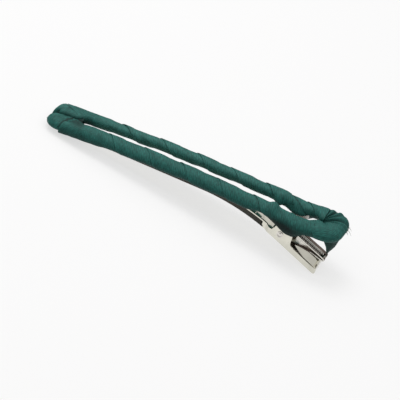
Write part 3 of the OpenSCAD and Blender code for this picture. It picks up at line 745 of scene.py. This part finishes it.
def undersideAt(x):
    (tipX, tipZ), (bendX, bendZ) = jawLine["tip"], jawLine["bend"]
    rise = math.atan((bendZ - tipZ) / (bendX - tipX))
    middleX = bendX + jawLine["radius"] * math.sin(rise)
    middleZ = bendZ - jawLine["radius"] * math.cos(rise)
    line = tipZ + (x - tipX) * math.tan(rise)
    arc = middleZ + np.sqrt(np.maximum(jawLine["radius"] ** 2 - (x - middleX) ** 2, 0))
    return np.where(x < bendX, line, arc)


def softenEdges(piece, width, over, harden=False):  # edges turned by more than over degrees
    soft = piece.modifiers.new("softEdges", "BEVEL")
    soft.width = width * mm
    soft.segments = 2
    soft.limit_method = "ANGLE"
    soft.angle_limit = math.radians(over)
    soft.harden_normals = harden
    bpy.ops.object.modifier_apply(modifier="softEdges")


def flangeEdges(work):  # the upright edges across the near flange, cut by cut
    found = []
    slackAlong, slackAcross, slackFoot = jawLine["slack"]
    for edge in work.edges:
        a, b = (toClip(np.array(v.co)) for v in edge.verts)
        along, across, tall = np.abs(a - b)
        foot = min(a[2], b[2]) - float(undersideAt(a[0]))
        upright = along < slackAlong and across < slackAcross and tall > jawLine["flange"]
        near = jawLine["rimFrom"] < a[0] < jawLine["rimTo"] and a[1] < 0
        if upright and near and abs(foot) < slackFoot:
            found.append(edge)
    return found


def makeJaw():
    source = frame["nodes"]["lower_jaw"]
    mesh = source.data.copy()
    mesh.name = "lowerJawSheet"
    piece = bpy.data.objects.new("lowerJawSheet", mesh)
    bpy.context.collection.objects.link(piece)
    work = bmesh.new()
    work.from_mesh(mesh)
    bmesh.ops.remove_doubles(work, verts=work.verts, dist=0.001 * mm)
    bmesh.ops.dissolve_limit(work, angle_limit=math.radians(1.0), verts=work.verts, edges=work.edges)
    tiltTurn = Matrix.Rotation(-math.radians(rest["tilt"]), 3, "Y")
    for x in jawLine["cuts"]:
        cutAt = Vector(toWorld([[x, 0, -3.0]])[0])
        bmesh.ops.bisect_plane(work, geom=work.verts[:] + work.edges[:] + work.faces[:],
                               plane_co=cutAt, plane_no=tiltTurn @ Vector((1, 0, 0)), dist=0.001 * mm)
    # an upright rim along the top of the near flange
    split = bmesh.ops.subdivide_edges(work, edges=flangeEdges(work), cuts=1)
    rimVerts = [item for item in split["geom_inner"] if isinstance(item, bmesh.types.BMVert)]
    bmesh.ops.connect_verts(work, verts=rimVerts)
    for edge in work.edges:
        if all(v in rimVerts for v in edge.verts):
            edge.smooth = False
    bmesh.ops.recalc_face_normals(work, faces=work.faces)
    work.verts.index_update()
    places = toClip(np.array([v.co for v in work.verts]))
    for vertex in rimVerts:
        place = places[vertex.index]
        place[2] = undersideAt(place[0]) + jawLine["rim"]
    high = np.clip(places[:, 2] - undersideAt(places[:, 0]), 0, jawLine["rim"])
    lean = jawLine["lean"] * (1 - ramp(places[:, 0], *jawLine["leanTo"]))
    places[:, 1] += lean * high * ramp(-places[:, 1], *jawLine["leanSide"])
    for vertex, place in zip(work.verts, toWorld(places)):
        vertex.co = place
    work.to_mesh(mesh)
    work.free()
    bpy.ops.object.select_all(action="DESELECT")
    bpy.context.view_layer.objects.active = piece
    piece.select_set(True)
    bpy.ops.object.shade_smooth_by_angle(angle=math.radians(32))
    softenEdges(piece, jawLine["soft"], jawLine["softOver"], harden=True)
    mesh.materials.clear()
    mesh.materials.append(jawMaterial)
    return piece


lowerJawSheet = makeJaw()
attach(lowerJawSheet, "jaw")
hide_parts("lower_jaw")
print("jaw made")

# Rivet through the ears: shaft, and a head on each side with a turned ring
rivet = {
    "radius": 0.5, "half": 3.77, "head": 0.82, "sides": 48, "headUp": 0.1,
    "rings": [(1.0, 0.1), (0.88, 0.08), (0.7, 0.0), (0.6, -0.1), (0.45, 0.0), (0.34, 0.07)],
}


def selectFaces(mesh, test):
    work = bmesh.from_edit_mesh(mesh)
    for face in work.faces:
        face.select_set(test(face))
    work.select_flush_mode()
    bmesh.update_edit_mesh(mesh)


def startPrimitive(adder, name, **sizes):
    bpy.ops.object.select_all(action="DESELECT")
    adder(**sizes)
    piece = bpy.context.object
    piece.name = name
    piece.data.name = name
    bpy.ops.object.transform_apply(location=True, rotation=True, scale=True)
    return piece


def makeRivet():
    middle = Vector(rest["hinge"])
    piece = startPrimitive(bpy.ops.mesh.primitive_cylinder_add, "hingeRivet", vertices=rivet["sides"],
                           radius=rivet["radius"] * mm, depth=2 * rivet["half"] * mm,
                           location=middle, rotation=(math.pi / 2, 0, 0))
    bpy.ops.object.mode_set(mode="EDIT")
    bpy.ops.mesh.select_mode(type="FACE")
    for side in (-1, 1):
        def atEnd(face):
            return face.normal.y * side > 0.9 and (face.calc_center_median() - middle).y * side > 0
        selectFaces(piece.data, atEnd)
        headAt = middle + Vector((0, side * (rivet["half"] + rivet["headUp"]) * mm, 0))
        size = rivet["radius"]
        steps = [(rivet["head"], 0.0)] + [(rivet["head"] * share, rise) for share, rise in rivet["rings"]]
        for radius, rise in steps:
            bpy.ops.mesh.extrude_region_move(TRANSFORM_OT_translate={"value": (0, side * rise * mm, 0)})
            bpy.ops.transform.resize(value=(radius / size,) * 3, center_override=headAt,
                                     constraint_axis=(True, False, True))
            size = radius
    bpy.ops.mesh.select_all(action="SELECT")
    bpy.ops.mesh.normals_make_consistent(inside=False)
    bpy.ops.object.mode_set(mode="OBJECT")
    bpy.ops.object.shade_smooth_by_angle(angle=math.radians(40))
    piece.data.materials.append(rivetMaterial)
    return piece


hingeRivet = makeRivet()
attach(hingeRivet, "jaw")
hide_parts("hinge_pin")
print("rivet made")

# Leaf spring: over the pin, back to its fold, forward and down to the lever
spring = {
    # the bright bands along the edges and the ridge are painted highlights
    "width": 3.4, "thick": 0.3, "step": 0.3, "paintedBright": 0.12, "soft": 0.05, "softOver": 50,
    "ridge": (-0.42, -0.1), "rise": 0.32, "ridgeFrom": 62.6, "ridgeTo": 71.9, "ridgeTurn": 21.2,
    "fade": 0.15, "brightFrom": -1.2, "jawEnd": (61.5, 0, -4.4), "frameEnd": (72.5, 0, -6.6),
    "notch": -0.85, "notchWide": 0.6, "notchStep": 0.28, "notchMark": 0.6,
    "halfway": (63.3, -3.5), "halfwayFall": 0.42,
    "line": [(60.1, -2.95), (60.6, -2.5), (61.4, -2.3), (62.3, -2.38), (63.3, -2.68), (65.9, -3.72),
             (69.3, -5.05), (72.3, -6.26), (72.72, -6.48), (72.8, -6.72), (72.6, -6.86), (72.2, -6.82),
             (70.1, -6.27), (68.1, -5.86), (66.2, -5.64), (64.6, -5.66), (63.3, -5.62), (62.2, -5.22),
             (60.4, -4.47)],
}


def springPath():
    line = np.array(spring["line"])
    far = np.concatenate([[0], np.cumsum(np.linalg.norm(np.diff(line, axis=0), axis=1))])
    marks = [0.0]
    for a, b in zip(far[:-1], far[1:]):
        parts = max(2, math.ceil((b - a) / spring["step"]))
        marks += list(a + (b - a) * np.arange(1, parts + 1) / parts)
    return np.stack([curveThrough(np.array(marks), far, line[:, k]) for k in (0, 1)], -1)


def onUpperLeg(place):  # above the line halfway between the two legs
    x, z = spring["halfway"]
    return place[2] > z - (place[0] - x) * spring["halfwayFall"]


def makeSpring():
    path = springPath()
    places = [Vector(p) for p in toWorld(np.stack([path[:, 0], np.zeros(len(path)), path[:, 1]], -1))]
    first, second = places[0], places[1]
    along = second - first
    lean = -math.atan2(along.z, along.x)
    piece = startPrimitive(bpy.ops.mesh.primitive_plane_add, "springStrip", size=1.0,
                           location=(first + second) / 2, rotation=(0, lean, 0))
    bpy.ops.object.mode_set(mode="EDIT")
    work = bmesh.from_edit_mesh(piece.data)
    for vertex in work.verts:
        ahead = (vertex.co - (first + second) / 2).dot(along) > 0
        base = second if ahead else first
        vertex.co = base + Vector((0, math.copysign(spring["width"] / 2 * mm, vertex.co.y - first.y), 0))
    bpy.ops.mesh.select_mode(type="EDGE")
    for edge in work.edges:
        edge.select_set(all((v.co - second).xz.length < 1e-7 for v in edge.verts))
    work.select_flush_mode()
    bmesh.update_edit_mesh(piece.data)
    for a, b in zip(places[1:-1], places[2:]):
        bpy.ops.mesh.extrude_region_move(TRANSFORM_OT_translate={"value": b - a})
    # a stiffening ridge along the upper leg
    inner = spring["width"] / 2 - spring["paintedBright"]
    ridgeLow, ridgeHigh = spring["ridge"]
    footLow, footHigh = ridgeLow - spring["paintedBright"], ridgeHigh + spring["paintedBright"]
    for off in (-inner, spring["brightFrom"], spring["notch"], footLow, ridgeLow, ridgeHigh, footHigh,
                footHigh + spring["fade"], inner):
        bpy.ops.mesh.select_all(action="SELECT")
        bpy.ops.mesh.bisect(plane_co=first + Vector((0, off * mm, 0)), plane_no=(0, 1, 0))
    work = bmesh.from_edit_mesh(piece.data)
    bpy.ops.mesh.select_mode(type="VERT")
    ridgeMiddle = (ridgeLow + ridgeHigh) / 2
    for vertex, place in zip(work.verts, toClip(np.array([v.co for v in work.verts]))):
        onRidge = spring["ridgeFrom"] < place[0] < spring["ridgeTo"] and abs(place[1] - ridgeMiddle) < 0.2
        vertex.select_set(bool(onUpperLeg(place) and onRidge))
    work.select_flush_mode()
    bmesh.update_edit_mesh(piece.data)
    tilt = math.radians(rest["tilt"] - spring["ridgeTurn"])
    bpy.ops.transform.translate(value=Vector((-math.sin(tilt), 0, math.cos(tilt))) * spring["rise"] * mm)
    bpy.ops.mesh.select_all(action="SELECT")
    bpy.ops.mesh.normals_make_consistent(inside=False)
    bpy.ops.object.mode_set(mode="OBJECT")
    thick = piece.modifiers.new("thickness", "SOLIDIFY")
    thick.thickness = spring["thick"] * mm
    thick.offset = 0
    bpy.ops.object.modifier_apply(modifier="thickness")
    softenEdges(piece, spring["soft"], spring["softOver"])
    bpy.ops.object.shade_smooth_by_angle(angle=math.radians(40))
    # painted highlights on the ridge, the edges and the top of the lower leg, and lighter marks in steps
    # beside the ridge
    marks = []
    places = toClip(np.array([v.co for v in piece.data.vertices]))
    for place, vertex in zip(places, piece.data.vertices):
        x, y = place[:2]
        if onUpperLeg(place):
            mark = float(abs(y) > inner + 0.02 or footLow - 0.02 < y < footHigh + 0.02)
            beside = spring["notch"] - spring["notchWide"] < y < footLow - 0.05
            if beside and int(x / spring["notchStep"]) % 2:
                mark = spring["notchMark"]
        else:
            mark = float(vertex.normal.z > 0.3 and y > spring["brightFrom"] + 0.1)
        marks.append(mark)
    piece.data.attributes.new("paintedHighlightMark", "FLOAT", "POINT").data.foreach_set("value", marks)
    piece.data.materials.append(springMaterial)
    return piece


springStrip = makeSpring()
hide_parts("leaf_spring")
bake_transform(springStrip)
print("spring made")

plateNode = frame["nodes"]["frame_plate"]
plateNode.data.materials.clear()
plateNode.data.materials.append(plateMaterial)

# Floor, light and camera, in metres and degrees
studio = {
    "floorSize": 6.0, "floor": (0.3, 0.3, 0.302, 1), "glow": (0.63, 0.25),
    "skyUp": (-0.2, 0.1, 0.97), "skyFrom": (0.05, 0.8), "sky": (0.03, 1.05), "skyTone": (1.0, 0.99, 0.98, 1),
}
view = {
    "place": (0.0502379, -0.3457858, 0.2007377), "look": (-0.116042, 0.859387, -0.497984), "roll": 25.319,
    "lens": 153.324, "sensor": 36.0, "near": 0.01, "far": 20,
}


def makeFloor():
    bpy.ops.mesh.primitive_plane_add(size=studio["floorSize"], location=(0, 0, 0))
    floor = bpy.context.object
    floor.name = "floor"
    material, tree, shader = newMaterial("paleFloor")
    # the floor glows less towards matt surfaces, so that the undersides of the ribbon stay dark
    matt = nodeOf(tree, "ShaderNodeLightPath", (-700, -300)).outputs["Is Diffuse Ray"]
    glow = rangeOf(tree, (-400, -300), matt, (0, 1), studio["glow"])
    feedAll(tree, shader, {"Base Color": studio["floor"], "Emission Color": (1, 1, 1, 1),
                           "Emission Strength": glow, "Roughness": 0.85, "Specular IOR Level": 0.1})
    floor.data.materials.append(material)


def makeSky():
    world = bpy.data.worlds.new("studio")
    bpy.context.scene.world = world
    world.use_nodes = True
    tree = world.node_tree
    way = nodeOf(tree, "ShaderNodeTexCoord", (-900, 0)).outputs["Generated"]
    height = nodeOf(tree, "ShaderNodeVectorMath", (-700, 0), way, studio["skyUp"], operation="DOT_PRODUCT")
    level = rangeOf(tree, (-500, 0), height.outputs["Value"], studio["skyFrom"], studio["sky"],
                    interpolation_type="SMOOTHSTEP")
    back = tree.nodes["Background"]
    feedAll(tree, back, {"Color": studio["skyTone"], "Strength": level})


def makeLamp(name, place, aim, size, power):
    light = bpy.data.lights.new(name, "AREA")
    light.shape = "DISK"
    light.size = size
    light.energy = power
    lamp = bpy.data.objects.new(name, light)
    bpy.context.collection.objects.link(lamp)
    lamp.location = place
    lamp.rotation_euler = (Vector(aim) - Vector(place)).to_track_quat("-Z", "Y").to_euler()


def makeCamera():
    data = bpy.data.cameras.new("camera")
    data.sensor_width = view["sensor"]
    data.lens = view["lens"]
    data.clip_start, data.clip_end = view["near"], view["far"]
    camera = bpy.data.objects.new("camera", data)
    bpy.context.collection.objects.link(camera)
    look = Vector(view["look"]).normalized()
    roll = math.radians(view["roll"])
    level = look.cross(Vector((0, 0, 1))).normalized()
    upright = level.cross(look)
    right = level * math.cos(roll) + upright * math.sin(roll)
    up = upright * math.cos(roll) - level * math.sin(roll)
    place = Matrix((right, up, -look)).transposed().to_4x4()
    place.translation = Vector(view["place"])
    camera.matrix_world = place
    bpy.context.scene.camera = camera


makeFloor()
makeSky()
makeLamp("mainLight", place=(-0.24, 0.1, 0.5), aim=(0, 0, 0), size=0.3, power=1.1)
makeCamera()
bpy.context.scene.view_settings.view_transform = "Standard"
print("stage made")
